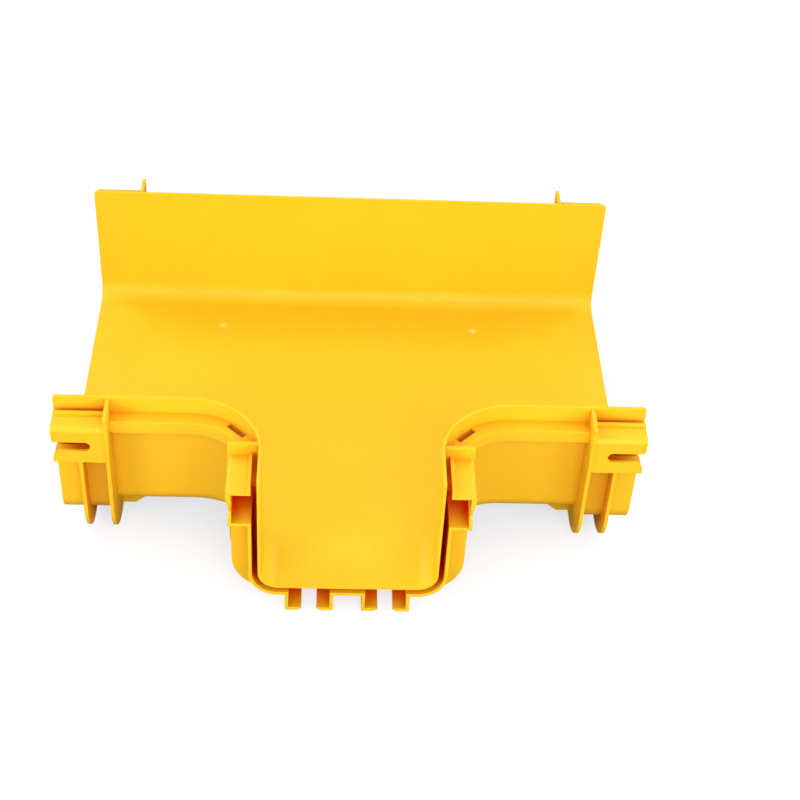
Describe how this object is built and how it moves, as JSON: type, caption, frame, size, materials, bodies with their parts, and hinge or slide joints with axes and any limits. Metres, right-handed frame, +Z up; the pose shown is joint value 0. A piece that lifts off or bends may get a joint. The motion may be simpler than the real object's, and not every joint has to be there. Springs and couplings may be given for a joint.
{
  "type": "fibre raceway reducing tee",
  "caption": "Open U-channel reducing tee for fibre raceway: straight run, narrower branch on swept corners, and a flanged double-wall socket with T-bolt slots at each end.",
  "frame": {"origin": "middle of the plan outline, on the plane that the floor boxes and flanges stand on", "axes": "+X along the main run, the branch leaves towards -Y, +Z up and out of the open top"},
  "size_m": [0.408, 0.343, 0.1265],
  "materials": {
    "yellow_plastic": "satin moulded ABS"
  },
  "bodies": {
    "root": {"raceway_tee": "yellow_plastic"}
  },
  "joints": []
}
